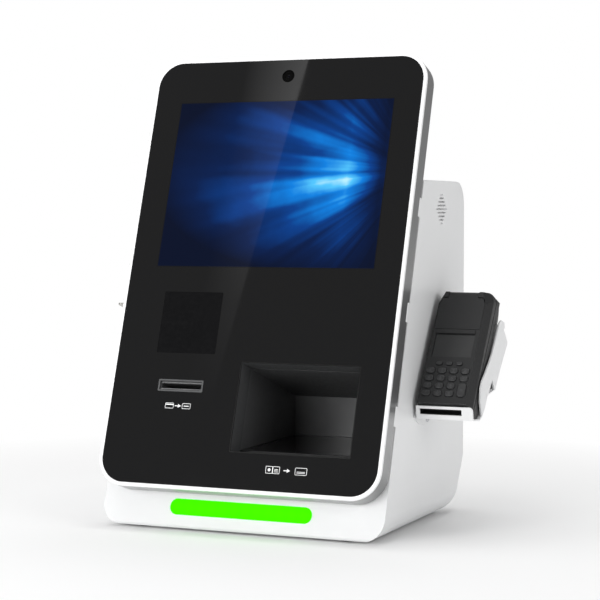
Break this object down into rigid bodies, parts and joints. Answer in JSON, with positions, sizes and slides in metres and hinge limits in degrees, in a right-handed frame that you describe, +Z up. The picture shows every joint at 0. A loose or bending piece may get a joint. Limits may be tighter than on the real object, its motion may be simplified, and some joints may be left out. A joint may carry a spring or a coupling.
{
  "type": "self checkout kiosk",
  "caption": "Counter kiosk: white steel body, leaning black glass door with screen, card slot and passport bay, side payment terminal in a bracket.",
  "frame": {"origin": "centre of the four counter-fixing holes, on the plane of the feet's undersides", "axes": "+Z up, -Y out of the front, +X to the right as seen from the front"},
  "size_m": [0.495, 0.3289, 0.6078],
  "materials": {
    "shell_paint": "satin white powder coat",
    "bracket_paint": "satin white powder coat",
    "rim_paint": "satin white",
    "inner_steel": "zinc-plated sheet",
    "rubber": "matt",
    "screw_steel": "zinc plated",
    "dark_plastic": "fine texture",
    "power_case": "mill",
    "hood_plastic": "satin black",
    "scanner_case": "satin black",
    "platen_glass": "dark filter glass",
    "light": "lit diffuser",
    "roller_rubber": "matt",
    "card_stock": "smooth",
    "weight_steel": "ground",
    "lock_chrome": "polished",
    "key_steel": "nickel plated",
    "door_silver": "silver satin",
    "black_glass": "back-printed, polished",
    "display": "lit screen",
    "terminal_case": "satin charcoal",
    "terminal_lens": "polished",
    "paper": "paper",
    "key_plastic": "soft touch"
  },
  "bodies": {
    "chassis": {"base_plate": "inner_steel", "body_shell": "shell_paint", "card_stack": "card_stock", "controller_computer": "dark_plastic", "dispenser_housing": "dark_plastic", "equipment_shelf": "inner_steel", "fan_frame": "dark_plastic", "hinge_knuckles": "shell_paint", "light_bar": "light", "lock_barrel": "lock_chrome", "passport_hood": "hood_plastic", "passport_scanner": "scanner_case", "power_inlet": "dark_plastic", "power_supply": "power_case", "rear_panel": "shell_paint", "rubber_feet": "rubber", "scanner_glass": "platen_glass", "screws": "screw_steel", "speakers": "dark_plastic", "terminal_bracket": "bracket_paint", "terminal_lower_housing": "terminal_case", "terminal_screen": "terminal_lens", "terminal_upper_housing": "terminal_case"},
    "door": {"door_frame": "door_silver", "door_rim": "rim_paint", "front_glass": "black_glass", "touch_display": "display", "door_back_cover": "inner_steel", "camera_module": "dark_plastic", "reader_window": "black_glass", "reader_module": "dark_plastic", "card_bezel": "hood_plastic", "passport_surround": "hood_plastic", "hinge_pins": "screw_steel"},
    "lock": {"lock_plug": "lock_chrome", "lock_key": "key_steel"},
    "fan": {"fan_rotor": "dark_plastic"},
    "rocker": {"power_rocker": "dark_plastic"},
    "follower": {"card_weight": "weight_steel"},
    "feed": {"feed_roller": "roller_rubber"},
    "lid": {"printer_lid": "terminal_case"},
    "paper": {"paper_roll": "paper"},
    "keypad_key_01": {"keypad_key_01": "key_plastic"},
    "keypad_key_02": {"keypad_key_02": "key_plastic"},
    "keypad_key_03": {"keypad_key_03": "key_plastic"},
    "keypad_key_04": {"keypad_key_04": "key_plastic"},
    "keypad_key_05": {"keypad_key_05": "key_plastic"},
    "keypad_key_06": {"keypad_key_06": "key_plastic"},
    "keypad_key_07": {"keypad_key_07": "key_plastic"},
    "keypad_key_08": {"keypad_key_08": "key_plastic"},
    "keypad_key_09": {"keypad_key_09": "key_plastic"},
    "keypad_key_10": {"keypad_key_10": "key_plastic"},
    "keypad_key_11": {"keypad_key_11": "key_plastic"},
    "keypad_key_12": {"keypad_key_12": "key_plastic"},
    "keypad_key_13": {"keypad_key_13": "key_plastic"},
    "keypad_key_14": {"keypad_key_14": "key_plastic"},
    "keypad_key_15": {"keypad_key_15": "key_plastic"},
    "function_key_1": {"function_key_1": "key_plastic"},
    "function_key_2": {"function_key_2": "key_plastic"},
    "function_key_3": {"function_key_3": "key_plastic"}
  },
  "joints": [
    {"name": "door_swing", "type": "hinge", "parent": "chassis", "child": "door", "pos_m": [0.1903, -0.04799, 0.2789], "axis": [0, 0.3173, 0.9483], "range_deg": [0, 95]},
    {"name": "lock_turn", "type": "hinge", "parent": "chassis", "child": "lock", "pos_m": [-0.1935, -0.02956, 0.27853], "axis": [-1, 0, 0], "range_deg": [0, 90]},
    {"name": "fan_spin", "type": "hinge", "parent": "chassis", "child": "fan", "pos_m": [0, 0.155, 0.345], "axis": [0, 1, 0], "continuous": true},
    {"name": "switch_rock", "type": "hinge", "parent": "chassis", "child": "rocker", "pos_m": [-0.105, 0.172, 0.1535], "axis": [0, 0, 1], "range_deg": [-20, 0]},
    {"name": "follower_lift", "type": "slide", "parent": "chassis", "child": "follower", "axis": [0, 0.3173, 0.9483], "range_m": [0, 0.025]},
    {"name": "feed_spin", "type": "hinge", "parent": "chassis", "child": "feed", "pos_m": [-0.09175, -0.03113, 0.14777], "axis": [1, 0, 0], "continuous": true},
    {"name": "lid_lift", "type": "hinge", "parent": "chassis", "child": "lid", "pos_m": [0.2333, 0.05895, 0.29724], "axis": [-1, 0, 0], "range_deg": [0, 100]},
    {"name": "paper_spin", "type": "hinge", "parent": "chassis", "child": "paper", "pos_m": [0.2333, 0.06292, 0.26199], "axis": [1, 0, 0], "continuous": true},
    {"name": "keypad_key_01_press", "type": "slide", "parent": "chassis", "child": "keypad_key_01", "axis": [0, 0.829, -0.5592], "range_m": [0, 0.0012], "stiffness_N_per_m": 500},
    {"name": "keypad_key_02_press", "type": "slide", "parent": "chassis", "child": "keypad_key_02", "axis": [0, 0.829, -0.5592], "range_m": [0, 0.0012], "stiffness_N_per_m": 500},
    {"name": "keypad_key_03_press", "type": "slide", "parent": "chassis", "child": "keypad_key_03", "axis": [0, 0.829, -0.5592], "range_m": [0, 0.0012], "stiffness_N_per_m": 500},
    {"name": "keypad_key_04_press", "type": "slide", "parent": "chassis", "child": "keypad_key_04", "axis": [0, 0.829, -0.5592], "range_m": [0, 0.0012], "stiffness_N_per_m": 500},
    {"name": "keypad_key_05_press", "type": "slide", "parent": "chassis", "child": "keypad_key_05", "axis": [0, 0.829, -0.5592], "range_m": [0, 0.0012], "stiffness_N_per_m": 500},
    {"name": "keypad_key_06_press", "type": "slide", "parent": "chassis", "child": "keypad_key_06", "axis": [0, 0.829, -0.5592], "range_m": [0, 0.0012], "stiffness_N_per_m": 500},
    {"name": "keypad_key_07_press", "type": "slide", "parent": "chassis", "child": "keypad_key_07", "axis": [0, 0.829, -0.5592], "range_m": [0, 0.0012], "stiffness_N_per_m": 500},
    {"name": "keypad_key_08_press", "type": "slide", "parent": "chassis", "child": "keypad_key_08", "axis": [0, 0.829, -0.5592], "range_m": [0, 0.0012], "stiffness_N_per_m": 500},
    {"name": "keypad_key_09_press", "type": "slide", "parent": "chassis", "child": "keypad_key_09", "axis": [0, 0.829, -0.5592], "range_m": [0, 0.0012], "stiffness_N_per_m": 500},
    {"name": "keypad_key_10_press", "type": "slide", "parent": "chassis", "child": "keypad_key_10", "axis": [0, 0.829, -0.5592], "range_m": [0, 0.0012], "stiffness_N_per_m": 500},
    {"name": "keypad_key_11_press", "type": "slide", "parent": "chassis", "child": "keypad_key_11", "axis": [0, 0.829, -0.5592], "range_m": [0, 0.0012], "stiffness_N_per_m": 500},
    {"name": "keypad_key_12_press", "type": "slide", "parent": "chassis", "child": "keypad_key_12", "axis": [0, 0.829, -0.5592], "range_m": [0, 0.0012], "stiffness_N_per_m": 500},
    {"name": "keypad_key_13_press", "type": "slide", "parent": "chassis", "child": "keypad_key_13", "axis": [0, 0.829, -0.5592], "range_m": [0, 0.0012], "stiffness_N_per_m": 500},
    {"name": "keypad_key_14_press", "type": "slide", "parent": "chassis", "child": "keypad_key_14", "axis": [0, 0.829, -0.5592], "range_m": [0, 0.0012], "stiffness_N_per_m": 500},
    {"name": "keypad_key_15_press", "type": "slide", "parent": "chassis", "child": "keypad_key_15", "axis": [0, 0.829, -0.5592], "range_m": [0, 0.0012], "stiffness_N_per_m": 500},
    {"name": "function_key_1_press", "type": "slide", "parent": "chassis", "child": "function_key_1", "axis": [0, 0.829, -0.5592], "range_m": [0, 0.0012], "stiffness_N_per_m": 500},
    {"name": "function_key_2_press", "type": "slide", "parent": "chassis", "child": "function_key_2", "axis": [0, 0.829, -0.5592], "range_m": [0, 0.0012], "stiffness_N_per_m": 500},
    {"name": "function_key_3_press", "type": "slide", "parent": "chassis", "child": "function_key_3", "axis": [0, 0.829, -0.5592], "range_m": [0, 0.0012], "stiffness_N_per_m": 500}
  ]
}
